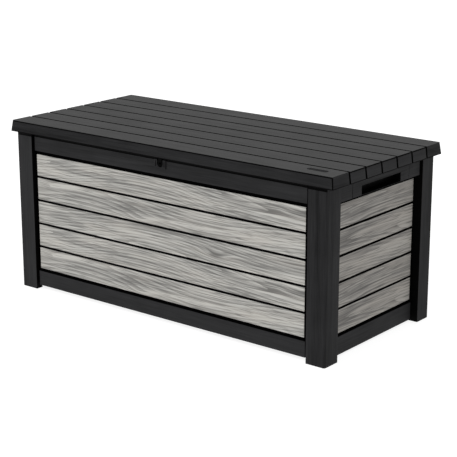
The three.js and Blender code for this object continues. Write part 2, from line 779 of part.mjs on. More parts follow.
/** Angle bracket under the liner with the stud that a strut's rod end meets. */
function lidStud(side) {
  const rodEnd = strutX - STRUT_EYE / 2 - 2 - FIT;
  const top = linerBottom - FIT;
  const y = lidPivot.x;
  const z = lidPivot.y;
  const pieces = [
    block(rodEnd - 28, rodEnd - 2, y - 16, y + 16, top - LEAF, top),
    block(rodEnd - 2 - LEAF, rodEnd - 2, y - 10, y + 10, z - 8, top - 1),
    barX(STUD_RADIUS, rodEnd - 3, rodEnd, y, z, 20),
    barX(STUD_RADIUS + 2, rodEnd - 2 - LEAF - 3, rodEnd - 2 - LEAF + 1, y, z, 6),
  ];
  const geometry = surface(joined(pieces));
  return side > 0 ? geometry : geometry.rotateZ(Math.PI).translate(0, 2 * y, 0);
}

// ---------------------------------------------------------------- assembly

const group = new THREE.Group();
const box = new THREE.Group();
const lid = new THREE.Group();
lid.position.set(0, hingeY, hingeZ);
group.add(box, lid);

add(box, "floor_panel", floorPanel(), darkResin);

for (const [row, sy] of [["front", -1], ["back", 1]]) {
  for (const [column, sx] of [["left", -1], ["right", 1]]) {
    add(box, `${row}_${column}_leg`, leg(sx, sy), charcoalResin);
  }
}

add(box, "front_panel", frontWall(), charcoalResin);
add(box, "back_panel", surface(longWall(1)), charcoalResin);
add(box, "left_panel", endWall(-1), charcoalResin);
add(box, "right_panel", endWall(1), charcoalResin);

for (let row = 0; row < SLATS; row += 1) {
  add(box, `front_slat_${row + 1}`, longSlat(-1, row), greyWoodResin);
  add(box, `back_slat_${row + 1}`, longSlat(1, row), greyWoodResin);
  add(box, `left_slat_${row + 1}`, endSlat(-1, row), greyWoodResin);
  add(box, `right_slat_${row + 1}`, endSlat(1, row), greyWoodResin);
}

add(box, "hasp_plate", haspPlate(), charcoalResin);

add(lid, "lid_shell", lidShell(), lidResin);
add(lid, "lid_liner", lidLiner(), charcoalResin);
add(lid, "lid_beam_left", lidBeam(-BEAM_FROM_MIDDLE), darkResin);
add(lid, "lid_beam_right", lidBeam(BEAM_FROM_MIDDLE), darkResin);
add(lid, "lid_badge", badge(), darkResin);
add(lid, "lid_hasp_tongue", haspTongue(), darkResin);

HINGE_NAMES.forEach((name, i) => {
  const x = (i - 1) * HINGE_SPACING;
  add(box, `${name}_hinge_leaf`, boxLeaf(x), charcoalResin);
  add(box, `${name}_hinge_pin`, hingePin(x), zincSteel);
  add(lid, `${name}_lid_leaf`, lidLeaf(x), charcoalResin);
});

for (const [name, side] of [["left", -1], ["right", 1]]) {
  add(box, `${name}_handle`, handle(side), charcoalResin);
  add(box, `${name}_strut_bracket`, strutBracket(side), zincSteel);
  add(lid, `${name}_lid_stud`, lidStud(side), zincSteel);
  add(box, `${name}_strut_cylinder`, strutCylinder(side), blackPaint);
  add(box, `${name}_strut_rod`, strutRod(side), chromedSteel);
}

export default group;
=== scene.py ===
"""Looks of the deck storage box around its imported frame. Metres, +X right, +Y back, +Z up."""

import logging
import math
from dataclasses import dataclass
from enum import Enum
from typing import Callable

import bmesh
import bpy
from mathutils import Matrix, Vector


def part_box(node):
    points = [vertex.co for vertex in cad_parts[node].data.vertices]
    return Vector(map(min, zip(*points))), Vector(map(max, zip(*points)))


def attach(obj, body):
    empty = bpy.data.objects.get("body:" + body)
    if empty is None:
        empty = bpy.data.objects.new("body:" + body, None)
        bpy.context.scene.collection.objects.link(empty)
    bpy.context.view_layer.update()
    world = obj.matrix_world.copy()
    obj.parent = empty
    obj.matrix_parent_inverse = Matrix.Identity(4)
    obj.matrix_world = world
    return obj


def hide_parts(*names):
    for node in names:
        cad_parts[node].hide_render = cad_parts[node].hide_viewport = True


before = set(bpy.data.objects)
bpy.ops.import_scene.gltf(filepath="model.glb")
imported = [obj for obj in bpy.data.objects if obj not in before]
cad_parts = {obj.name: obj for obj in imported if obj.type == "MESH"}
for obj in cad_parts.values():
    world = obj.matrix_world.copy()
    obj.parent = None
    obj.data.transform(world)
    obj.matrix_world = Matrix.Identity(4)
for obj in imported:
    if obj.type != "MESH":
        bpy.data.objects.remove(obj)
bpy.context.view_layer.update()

log = logging.getLogger("storage_box")
MM = 0.001
FIT = 0.3 * MM  # gap left between pieces that fit together
TOUCH = 1e-5  # how near a point has to be to a face to lie on it, in metres
CUT_REACH = 0.8  # half the length of a cutter that runs past both ends of the box, in metres
CUT_CLEAR = 0.02  # how far a cutter stands out of the face that it cuts, in metres
REBATE_DEPTH = 2.0 * MM  # of the step under the lid's skirt
REBATE_BELOW_SKIRT = 11.5 * MM
REBATE_HEIGHT = 0.06  # of its cutter, which ends above the wall, in metres
Place = tuple[float, float, float]
Test = Callable[[Vector, Vector], bool]


# ------------ named options


class Grain(Enum):
    """Axis along which a moulded wood grain runs."""

    ALONG_X = 0
    ALONG_Y = 1
    ALONG_Z = 2

    def spacing(self, along: float, across: float) -> Place:
        """Mapping scale of a pattern that is long one way.

        Args:
            along: length of the pattern's features down the grain, in mm.
            across: their width over the grain, in mm.

        Returns:
            Features per metre along X, Y and Z.
        """
        scale = [1 / (across * MM)] * 3
        scale[self.value] = 1 / (along * MM)
        return tuple(scale)


class Side(Enum):
    """End of the box, or of its hinge line."""

    LEFT = -1
    RIGHT = 1


# ------------ modelling by hand


def nothing_selected() -> None:
    """Leave every object unselected, in object mode."""
    active = bpy.context.view_layer.objects.active
    if active and active.mode != "OBJECT":
        bpy.ops.object.mode_set(mode="OBJECT")
    bpy.ops.object.select_all(action="DESELECT")


def only(piece: bpy.types.Object) -> None:
    """Make a piece the one selected and active object.

    Args:
        piece: the piece.
    """
    nothing_selected()
    piece.select_set(True)
    bpy.context.view_layer.objects.active = piece


def cuboid(name: str, low: Place, high: Place) -> bpy.types.Object:
    """Add a block between two corners, the start of a piece.

    Args:
        name: the piece's name.
        low: lowest corner, in metres.
        high: highest corner, in metres.

    Returns:
        The block, with its place in its mesh.
    """
    nothing_selected()
    low, high = Vector(low), Vector(high)
    bpy.ops.mesh.primitive_cube_add(size=1, location=(low + high) / 2)
    piece = bpy.context.object
    piece.name = piece.data.name = name
    piece.scale = high - low
    bpy.ops.object.transform_apply(location=True, rotation=True, scale=True)
    return piece


def edit(piece: bpy.types.Object, mode: str, test: Test) -> None:
    """Enter edit mode with the elements chosen by a test selected.

    Args:
        piece: the piece to shape.
        mode: VERT, EDGE or FACE.
        test: says from an element's middle, and its direction or normal, if it is selected.
    """
    only(piece)
    bpy.ops.object.mode_set(mode="EDIT")
    bpy.ops.mesh.select_mode(type=mode)
    bpy.ops.mesh.select_all(action="DESELECT")
    mesh = bmesh.from_edit_mesh(piece.data)
    mesh.normal_update()
    if mode == "FACE":
        for face in mesh.faces:
            face.select_set(test(face.calc_center_median(), face.normal))
    elif mode == "EDGE":
        for edge in mesh.edges:
            start, end = (vert.co for vert in edge.verts)
            edge.select_set(test((start + end) / 2, (end - start).normalized()))
    else:
        for vert in mesh.verts:
            vert.select_set(test(vert.co, vert.normal))
    mesh.select_flush_mode()
    bmesh.update_edit_mesh(piece.data)


def done() -> None:
    """Leave edit mode."""
    bpy.ops.object.mode_set(mode="OBJECT")


def move_selected(offset: Place) -> None:
    """Move the selected elements."""
    bpy.ops.transform.translate(value=offset)


def extrude_selected(offset: Place) -> None:
    """Extrude the selected faces as one region along an offset."""
    bpy.ops.mesh.extrude_region_move(TRANSFORM_OT_translate={"value": offset})


def finished_by(piece: bpy.types.Object, kind: str, **settings: object) -> None:
    """Apply one modifier to a piece.

    Args:
        piece: the piece.
        kind: the modifier's type.
        settings: its settings.
    """
    only(piece)
    modifier = piece.modifiers.new(kind.title(), kind)
    for name, value in settings.items():
        setattr(modifier, name, value)
    bpy.ops.object.modifier_apply(modifier=modifier.name)


def soften(piece: bpy.types.Object, width: float, segments: int = 2) -> None:
    """Round a piece's sharp edges as a mould does, and shade it smooth.

    Args:
        piece: the piece.
        width: width of the rounding, in mm.
        segments: faces across each rounding.
    """
    finished_by(
        piece,
        "BEVEL",
        width=width * MM,
        segments=segments,
        limit_method="ANGLE",
        angle_limit=math.radians(32),
        use_clamp_overlap=False,
        miter_outer="MITER_ARC",
    )
    shade(piece)


def shade(piece: bpy.types.Object) -> None:
    """Shade roundings smooth and leave flat faces flat.

    Args:
        piece: the piece.
    """
    only(piece)
    bpy.ops.object.shade_smooth_by_angle(angle=math.radians(50))
    finished_by(piece, "WEIGHTED_NORMAL", keep_sharp=True, weight=80)


def carve(
    piece: bpy.types.Object,
    tools: list[bpy.types.Object],
    painted_shade_lining: bpy.types.Material,
) -> None:
    """Cut separate tool solids out of a piece and discard them.

    Args:
        piece: the piece.
        tools: solids that don't touch each other.
        painted_shade_lining: near-black material of the cut faces, painted shade inside the cut.
    """
    only(tools[0])
    for tool in tools:
        tool.select_set(True)
    if len(tools) > 1:
        bpy.ops.object.join()
    tools[0].data.materials.clear()
    tools[0].data.materials.append(painted_shade_lining)
    finished_by(
        piece,
        "BOOLEAN",
        operation="DIFFERENCE",
        solver="EXACT",
        material_mode="TRANSFER",
        object=tools[0],
    )
    only(tools[0])
    bpy.ops.object.delete()


def rebate(piece: bpy.types.Object, face: float, painted_shade_lining: bpy.types.Material) -> None:
    """Cut the shallow step under the lid's skirt along a front or back face, lined as painted
    shadow.

    Args:
        piece: the piece, with its finish as its first material.
        face: the face's place along Y, in metres.
        painted_shade_lining: near-black material of the step, painted shadow under the skirt.
    """
    outward = 1 if face > 0 else -1
    inner, outer = sorted((face - outward * REBATE_DEPTH, face + outward * CUT_CLEAR))
    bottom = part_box("lid_shell")[0].z - REBATE_BELOW_SKIRT
    low, high = (-CUT_REACH, inner, bottom), (CUT_REACH, outer, bottom + REBATE_HEIGHT)
    tool = cuboid("rebate_tool", low, high)
    carve(piece, [tool], painted_shade_lining)
    shade(piece)


def copy_of(piece: bpy.types.Object, name: str, offset: Place = (0, 0, 0)) -> bpy.types.Object:
    """Copy a finished piece, with a mesh of its own.

    Args:
        piece: the piece to copy.
        name: the copy's name.
        offset: how far the copy stands from it.

    Returns:
        The copy, with its place in its mesh.
    """
    only(piece)
    bpy.ops.object.duplicate()
    twin = bpy.context.object
    twin.name = twin.data.name = name
    edit(twin, "VERT", lambda place, normal: True)
    move_selected(offset)
    done()
    return twin


def mirrored(piece: bpy.types.Object, name: str, x: int = 1, y: int = 1) -> bpy.types.Object:
    """Copy a piece to the opposite side of the box.

    Args:
        piece: the piece to copy.
        name: the copy's name.
        x: -1 to mirror left to right.
        y: -1 to mirror front to back.

    Returns:
        The mirrored copy, its faces pointing outwards.
    """
    twin = copy_of(piece, name)
    twin.scale = (x, y, 1)
    bpy.ops.object.transform_apply(location=True, rotation=True, scale=True)
    edit(twin, "FACE", lambda place, normal: True)
    bpy.ops.mesh.remove_doubles(threshold=1e-6)
    bpy.ops.mesh.normals_make_consistent(inside=False)
    done()
    bpy.ops.mesh.customdata_custom_splitnormals_clear()
    shade(twin)
    return twin


def eased(node: str, width: float, whole_faces: bool = True) -> bpy.types.Object:
    """Copy a frame part and round its edges, where its shape is already right.

    Args:
        node: the frame part's name.
        width: width of the rounding, in mm.
        whole_faces: whether flat faces are made whole; a sheet crossed by many ribs keeps its own.

    Returns:
        The copy: merged, its flat faces whole and its edges eased.
    """
    only(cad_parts[node])
    bpy.ops.object.duplicate()
    piece = bpy.context.object
    for key in list(piece.keys()):
        del piece[key]
    piece.name = piece.data.name = f"{node}_detailed"
    bpy.ops.mesh.customdata_custom_splitnormals_clear()
    edit(piece, "VERT", lambda place, normal: True)
    bpy.ops.mesh.remove_doubles(threshold=2e-5)
    if whole_faces:
        bpy.ops.mesh.dissolve_limited(angle_limit=math.radians(1))
    done()
    soften(piece, width)
    return piece


# ------------ nodes


def linear(colour: str) -> tuple[float, float, float, float]:
    """Turn an sRGB hex colour into a linear one.

    Args:
        colour: the colour, such as "#9c9c9c".

    Returns:
        Linear red, green, blue and alpha.
    """
    parts = [int(colour[i : i + 2], 16) / 255 for i in (1, 3, 5)]
    curve = [c / 12.92 if c <= 0.04045 else ((c + 0.055) / 1.055) ** 2.4 for c in parts]
    return (*curve, 1.0)


def put(
    tree: bpy.types.NodeTree,
    kind: str,
    inputs: dict[str | int, object] | None = None,
    stops: list[tuple[float, str]] | None = None,
    **settings: object,
) -> bpy.types.Node:
    """Add a node with its settings and links.

    Args:
        tree: the material's node tree.
        kind: the node's type, without its ShaderNode prefix.
        inputs: a value or an output to link, for each input's name or number.
        stops: places and hex colours, for a colour ramp.
        settings: the node's own settings.

    Returns:
        The node.
    """
    node = tree.nodes.new(f"ShaderNode{kind}")
    for name, value in settings.items():
        setattr(node, name, value)
    for key, value in (inputs or {}).items():
        if isinstance(value, bpy.types.NodeSocket):
            tree.links.new(value, node.inputs[key])
        else:
            node.inputs[key].default_value = value
    if stops:
        elements = node.color_ramp.elements
        while len(elements) < len(stops):
            elements.new(0.5)
        for element, (place, colour) in zip(elements, stops):
            element.position = place
            element.color = linear(colour)
    return node


def new_material(name: str) -> tuple[bpy.types.Material, bpy.types.NodeTree]:
    """Start a material with an empty tree.

    Args:
        name: the material's name.

    Returns:
        The material and its tree.
    """
    material = bpy.data.materials.new(name)
    material.use_nodes = True
    material.node_tree.nodes.clear()
    return material, material.node_tree


# ------------ finishes


@dataclass(frozen=True)
class MouldedResin:
    """Injection-moulded polypropylene, dyed through, from a mould with an etched wood grain.

    The etching leaves shallow lines a few millimetres apart, so the matt surface has faint
    streaks down the grain. Its edges are paler than its faces: partly rubbed wear, partly a
    painted highlight.
    """

    name: str
    deep: str
    pale: str
    worn_and_highlight: str
    grain: Grain
    relief: float = 0.35
    roughness: tuple[float, float] = (0.52, 0.66)
    sheen_level: float = 0.08

    def material(self) -> bpy.types.Material:
        """Build the finish from nodes.

        Returns:
            The material.
        """
        material, tree = new_material(self.name)
        place = put(tree, "TexCoord").outputs["Object"]
        # Etched lines 3.5 mm apart: the mould's are finer, and would not show.
        lines_at = put(tree, "Mapping", {"Vector": place, "Scale": self.grain.spacing(110, 3.5)})
        lines = put(tree, "TexNoise", {"Vector": lines_at.outputs[0], "Scale": 1.0, "Detail": 3.0})
        bands_at = put(tree, "Mapping", {"Vector": place, "Scale": self.grain.spacing(600, 22)})
        bands = put(
            tree,
            "TexNoise",
            {"Vector": bands_at.outputs[0], "Scale": 1.0, "Detail": 2.0, "Distortion": 0.4},
        )
        # Cooling marks and handling leave clouds about 160 mm across.
        clouds = put(tree, "TexNoise", {"Vector": place, "Scale": 1 / 0.16, "Detail": 3.0})
        streaks = put(tree, "Mix", {0: 0.45, 2: lines.outputs["Fac"], 3: bands.outputs["Fac"]})
        tone = put(tree, "Mix", {0: 0.25, 2: streaks.outputs[0], 3: clouds.outputs["Fac"]})
        body = put(
            tree,
            "ValToRGB",
            {"Fac": tone.outputs[0]},
            stops=[(0.36, self.deep), (0.64, self.pale)],
        )
        # Paler edges from pointiness: partly rubbed wear, partly a painted highlight.
        edge = put(
            tree,
            "MapRange",
            {"Value": put(tree, "NewGeometry").outputs["Pointiness"], 1: 0.52, 2: 0.62, 4: 0.6},
        )
        colour = put(
            tree,
            "Mix",
            {0: edge.outputs[0], 6: body.outputs["Color"], 7: linear(self.worn_and_highlight)},
            data_type="RGBA",
        )
        low, high = self.roughness
        gloss = put(tree, "MapRange", {"Value": tone.outputs[0], 1: 0.3, 2: 0.7, 3: high, 4: low})
        grit = put(tree, "TexNoise", {"Vector": place, "Scale": 1 / 0.0015, "Detail": 1.0})
        height = put(tree, "Mix", {0: 0.25, 2: streaks.outputs[0], 3: grit.outputs["Fac"]})
        bump = put(
            tree,
            "Bump",
            {"Strength": self.relief, "Distance": 0.6 * MM, "Height": height.outputs[0]},
        )
        shader = put(
            tree,
            "BsdfPrincipled",
            {
                "Base Color": colour.outputs[2],
                "Roughness": gloss.outputs[0],
                "IOR": 1.49,
                "Specular IOR Level": self.sheen_level,
                "Normal": bump.outputs[0],
            },
        )
        put(tree, "OutputMaterial", {"Surface": shader.outputs[0]})
        return material


@dataclass(frozen=True)
class FibreLayer:
    """One layer of printed fibres: their length and width in mm, and their share of the tone."""

    along: float
    across: float
    detail: float
    share: float = 0.0


FIBRES = {
    "streaks": FibreLayer(400, 4.4, 3.0, 0.25),
    "threads": FibreLayer(130, 2.1, 2.0, 0.19),
    "bands": FibreLayer(760, 24, 3.0, 0.29),
    "weather": FibreLayer(280, 46, 2.0, 0.17),
    "checks": FibreLayer(110, 3.8, 1.0),
}
RING_SHARE = 0.10
RING_SPACING = 11 * MM


@dataclass(frozen=True)
class WeatheredBoardPrint:
    """Polypropylene board with a printed and embossed pattern of silvered, weathered timber.

    The print has long grey streaks, arched growth rings and a few dark knots that the grain
    bends around; the embossing follows it. Each board carries its own stretch of the print in
    the attribute "board_place", and the surface is dry and matt.
    """

    name: str
    silver: str
    ash: str
    shadow: str
    warm: str
    warmth: float
    worn_and_highlight: str = "#c9c7c2"

    def material(self) -> bpy.types.Material:
        """Build the finish from nodes.

        Returns:
            The material.
        """
        material, tree = new_material(self.name)
        place = put(tree, "Attribute", attribute_name="board_place").outputs["Vector"]
        grain = Grain.ALONG_X

        # Knots sit about 330 mm apart, some stronger than others, and the grain parts round them.
        knots_at = put(tree, "Mapping", {"Vector": place, "Scale": grain.spacing(330, 88)})
        knots = put(
            tree, "TexVoronoi", {"Vector": knots_at.outputs[0], "Scale": 1.0, "Randomness": 0.9}
        )
        chance = put(tree, "SeparateColor", {"Color": knots.outputs["Color"]})
        swell = put(
            tree,
            "MapRange",
            {"Value": knots.outputs["Distance"], 1: 0.36, 2: 0.0, 4: 0.015},
            interpolation_type="SMOOTHSTEP",
        )
        bend = put(tree, "Math", {0: swell.outputs[0], 1: chance.outputs[0]}, operation="MULTIPLY")
        drift_at = put(tree, "Mapping", {"Vector": place, "Scale": grain.spacing(720, 95)})
        drift = put(tree, "TexNoise", {"Vector": drift_at.outputs[0], "Scale": 1.0, "Detail": 2.0})
        sway = put(
            tree,
            "Math",
            {0: drift.outputs["Fac"], 1: 0.032, 2: bend.outputs[0]},
            operation="MULTIPLY_ADD",
        )
        shift = put(tree, "CombineXYZ", {"Z": sway.outputs[0]})
        flow = put(tree, "VectorMath", {0: place, 1: shift.outputs[0]}, operation="ADD").outputs[0]

        # Growth rings are cut almost along the log, so that they close in long arches about a
        # middle that wanders from board to board. A wave node has 20 rings to a turn.
        wander = put(tree, "TexNoise", {"Vector": place, "Scale": 0.9, "Detail": 0.0})
        middle = put(
            tree,
            "VectorMath",
            {0: wander.outputs["Color"], 1: (3.2, 0.0, 0.30), 2: (-1.6, 0.0, -0.15)},
            operation="MULTIPLY_ADD",
        )
        heart = put(tree, "VectorMath", {0: flow, 1: middle.outputs[0]}, operation="ADD")
        rings_at = put(tree, "Mapping", {"Vector": heart.outputs[0], "Scale": (0.035, 0.0, 1.0)})
        rings = put(
            tree,
            "TexWave",
            {
                "Vector": rings_at.outputs[0],
                "Scale": math.tau / (20 * RING_SPACING),
                "Distortion": 1.6,
                "Detail": 2.0,
                "Detail Scale": 2.0,
            },
            wave_type="RINGS",
            rings_direction="Y",
            wave_profile="SAW",
        )

        # Single fibres, whole bands of them, weathered clouds and dark checks in the surface.
        fibres = {}
        for name, layer in FIBRES.items():
            scale = grain.spacing(layer.along, layer.across)
            at = put(tree, "Mapping", {"Vector": flow, "Scale": scale})
            noise = put(
                tree,
                "TexNoise",
                {"Vector": at.outputs[0], "Scale": 1.0, "Detail": layer.detail, "Roughness": 0.6},
            )
            fibres[name] = noise.outputs["Fac"]
        parts = [(fibres[name], layer.share) for name, layer in FIBRES.items() if layer.share]
        (first, first_share), *others = [*parts, (rings.outputs["Fac"], RING_SHARE)]
        tone = put(tree, "Math", {0: first, 1: first_share}, operation="MULTIPLY")
        for part, share in others:
            tone = put(
                tree, "Math", {0: part, 1: share, 2: tone.outputs[0]}, operation="MULTIPLY_ADD"
            )
        timber = put(
            tree,
            "ValToRGB",
            {"Fac": tone.outputs[0]},
            stops=[(0.41, self.shadow), (0.487, self.ash), (0.57, self.silver)],
        )
        tint = put(
            tree, "MapRange", {"Value": fibres["weather"], 1: 0.42, 2: 0.70, 4: self.warmth}
        )
        check = put(tree, "MapRange", {"Value": fibres["checks"], 1: 0.57, 2: 0.67, 4: 0.75})
        eye = put(
            tree,
            "MapRange",
            {"Value": knots.outputs["Distance"], 1: 0.15, 2: 0.03, 4: 0.95},
            interpolation_type="SMOOTHSTEP",
        )
        knot = put(tree, "Math", {0: eye.outputs[0], 1: chance.outputs[0]}, operation="MULTIPLY")
        # Paler edges from pointiness: partly rubbed wear, partly a painted highlight.
        edge = put(
            tree,
            "MapRange",
            {"Value": put(tree, "NewGeometry").outputs["Pointiness"], 1: 0.52, 2: 0.6, 4: 0.5},
        )
        colour = timber.outputs["Color"]
        for amount, over in (
            (tint, self.warm),
            (check, self.shadow),
            (knot, "#454340"),
            (edge, self.worn_and_highlight),
        ):
            laid = put(
                tree, "Mix", {0: amount.outputs[0], 6: colour, 7: linear(over)}, data_type="RGBA"
            )
            colour = laid.outputs[2]
        gloss = put(tree, "MapRange", {"Value": tone.outputs[0], 1: 0.3, 2: 0.7, 3: 0.78, 4: 0.6})
        bump = put(
            tree, "Bump", {"Strength": 0.45, "Distance": 0.7 * MM, "Height": tone.outputs[0]}
        )
        shader = put(
            tree,
            "BsdfPrincipled",
            {
                "Base Color": colour,
                "Roughness": gloss.outputs[0],
                "IOR": 1.49,
                "Specular IOR Level": 0.35,
                "Normal": bump.outputs[0],
            },
        )
        put(tree, "OutputMaterial", {"Surface": shader.outputs[0]})
        return material


@dataclass(frozen=True)
class PlatedMetal:
    """Steel under zinc, chrome or paint: fine draw marks one way, and dulled patches."""

    name: str
    bright: str
    dull: str
    grain: Grain
    roughness: tuple[float, float]
    metallic: float = 1.0

    def material(self) -> bpy.types.Material:
        """Build the finish from nodes.

        Returns:
            The material.
        """
        material, tree = new_material(self.name)
        place = put(tree, "TexCoord").outputs["Object"]
        # Draw marks 0.8 mm apart down the length.
        marks_at = put(tree, "Mapping", {"Vector": place, "Scale": self.grain.spacing(60, 0.8)})
        marks = put(tree, "TexNoise", {"Vector": marks_at.outputs[0], "Scale": 1.0, "Detail": 2.0})
        spangle = put(
            tree,
            "TexNoise",
            {"Vector": place, "Scale": 1 / 0.009, "Detail": 3.0, "Roughness": 0.6},
        )
        tone = put(tree, "Mix", {0: 0.6, 2: marks.outputs["Fac"], 3: spangle.outputs["Fac"]})
        colour = put(
            tree,
            "ValToRGB",
            {"Fac": tone.outputs[0]},
            stops=[(0.35, self.dull), (0.62, self.bright)],
        )
        low, high = self.roughness
        gloss = put(tree, "MapRange", {"Value": tone.outputs[0], 1: 0.3, 2: 0.7, 3: high, 4: low})
        bump = put(
            tree, "Bump", {"Strength": 0.15, "Distance": 0.1 * MM, "Height": tone.outputs[0]}
        )
        shader = put(
            tree,
            "BsdfPrincipled",
            {
                "Base Color": colour.outputs[0],
                "Metallic": self.metallic,
                "Roughness": gloss.outputs[0],
                "Normal": bump.outputs[0],
            },
        )
        put(tree, "OutputMaterial", {"Surface": shader.outputs[0]})
        return material


class Finishes:
    """Every finish of the box, each built once."""

    def __init__(self) -> None:
        """Build the finishes."""
        charcoal = ("#0d0d0e", "#232324", "#353536")
        lit_top_slate = ("#1b1b1b", "#333333", "#3e3e3e")
        # black: near-black, real on the hasp tongue and lid beams, painted shade everywhere else
        # it is used
        black = ("#020202", "#060606", "#080808")
        self.upright, self.long, self.cross = (
            MouldedResin(f"Charcoal resin, {way} grain", *charcoal, grain).material()
            for way, grain in (
                ("upright", Grain.ALONG_Z),
                ("long", Grain.ALONG_X),
                ("cross", Grain.ALONG_Y),
            )
        )
        # The lid's top faces get this paler copy and its skirts the charcoal: painted light on the
        # top.
        self.lid = MouldedResin(
            "Lid resin, plank grain, painted light on top", *lit_top_slate, Grain.ALONG_X, sheen_level=0.68
        ).material()
        # Near-black material: the real colour of the hasp tongue and lid beams, and painted shade
        # in cuts, gaps, returns and rims.
        self.dark = MouldedResin(
            "Black resin and painted shade", *black, Grain.ALONG_X, relief=0.2, sheen_level=0.03
        ).material()
        self.long_board = WeatheredBoardPrint(
            "Weathered board print, long", "#b0afaa", "#878682", "#4d4c4a", "#9b8f82", 0.2
        ).material()
        # The end walls' boards get a darker copy of the long boards' print: painted shade on the
        # ends.
        self.shaded_end_board = WeatheredBoardPrint(
            "Weathered board print, end, painted shade", "#9c9993", "#75726e", "#403e3c", "#8a8075", 0.25
        ).material()
        self.zinc = PlatedMetal(
            "Zinc plated steel", "#b9bbbd", "#8f9193", Grain.ALONG_X, (0.28, 0.46)
        ).material()
        self.chrome = PlatedMetal(
            "Hard chromed rod", "#d6d7d9", "#c4c6c8", Grain.ALONG_Z, (0.08, 0.16)
        ).material()
        self.paint = PlatedMetal(
            "Black stoved paint", "#18181a", "#0f0f10", Grain.ALONG_Z, (0.28, 0.42), 0.0
        ).material()


def dress(
    piece: bpy.types.Object,
    node: str,
    body: str,
    slot: str,
    *finishes: bpy.types.Material,
) -> bpy.types.Object:
    """Give a piece its finish and body, standing for a frame part.

    Args:
        piece: the finished piece.
        node: the frame part that it stands for.
        body: the body that it moves with.
        slot: the record's material slot; not used.
        finishes: its materials; faces already point at the right one.

    Returns:
        The piece.
    """
    piece.name = piece.data.name = f"{node}_detailed"
    slots = [polygon.material_index for polygon in piece.data.polygons]
    piece.data.materials.clear()
    for finish in finishes:
        piece.data.materials.append(finish)
    for polygon, index in zip(piece.data.polygons, slots):
        polygon.material_index = min(index, len(finishes) - 1)
    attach(piece, body)
    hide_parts(node)
    log.info("%s: %d faces, on %s", piece.name, len(piece.data.polygons), body)
    return piece


# ------------ sub-assemblies


@dataclass
class CornerLegs:
    """Four hollow L-shaped legs, open at the foot. Sizes are in mm."""

    corner_radius: float = 9.0
    corner_segments: int = 6
    wall: float = 3.0
    easing: float = 1.4

    def shape(self) -> bpy.types.Object:
        """Model the front right leg.

        Returns:
            The leg.
        """
        low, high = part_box("front_right_leg")
        inner_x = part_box("floor_panel")[1].x + FIT
        inner_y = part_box("floor_panel")[0].y - FIT
        leg = cuboid("leg", low, (high.x, inner_y, high.z))
        edit(leg, "FACE", lambda place, normal: True)
        bpy.ops.mesh.bisect(plane_co=(inner_x, 0, 0), plane_no=(1, 0, 0))
        done()
        edit(leg, "FACE", lambda place, normal: normal.y > 0.9 and place.x > inner_x)
        extrude_selected((0, high.y - inner_y, 0))
        done()
        edit(
            leg,
            "EDGE",
            lambda place, way: abs(way.z) > 0.9
            and place.x > high.x - TOUCH
            and place.y < low.y + TOUCH,
        )
        bpy.ops.mesh.bevel(
            offset=self.corner_radius * MM, segments=self.corner_segments, affect="EDGES"
        )
        done()
        edit(leg, "FACE", lambda place, normal: normal.z < -0.9)
        bpy.ops.mesh.inset(thickness=self.wall * MM)
        extrude_selected((0, 0, high.z - low.z - self.wall * MM))
        done()
        soften(leg, self.easing)
        return leg

    def build(self, finishes: Finishes) -> None:
        """Model, mirror and dress the legs.

        Args:
            finishes: the box's finishes.
        """
        leg = self.shape()
        low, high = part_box("front_right_leg")
        leg.data.materials.append(finishes.upright)
        rebate(leg, low.y, finishes.dark)
        # Painted shade: the leg's return faces beside the front and end walls get the near-black
        # material.
        for polygon in leg.data.polygons:
            centre, normal = polygon.center, polygon.normal
            facing_front_wall = normal.x < -0.9 and centre.x < low.x + self.wall * MM
            facing_end_wall = normal.y > 0.9 and centre.y > high.y - self.wall * MM
            if facing_front_wall or facing_end_wall:
                polygon.material_index = 1
        others = [
            ("front_left_leg", mirrored(leg, "front_left_leg", x=-1)),
            ("back_right_leg", mirrored(leg, "back_right_leg", y=-1)),
            ("back_left_leg", mirrored(leg, "back_left_leg", x=-1, y=-1)),
        ]
        for node, piece in [("front_right_leg", leg), *others]:
            dress(piece, node, "box", "charcoal_resin", finishes.upright, finishes.dark)


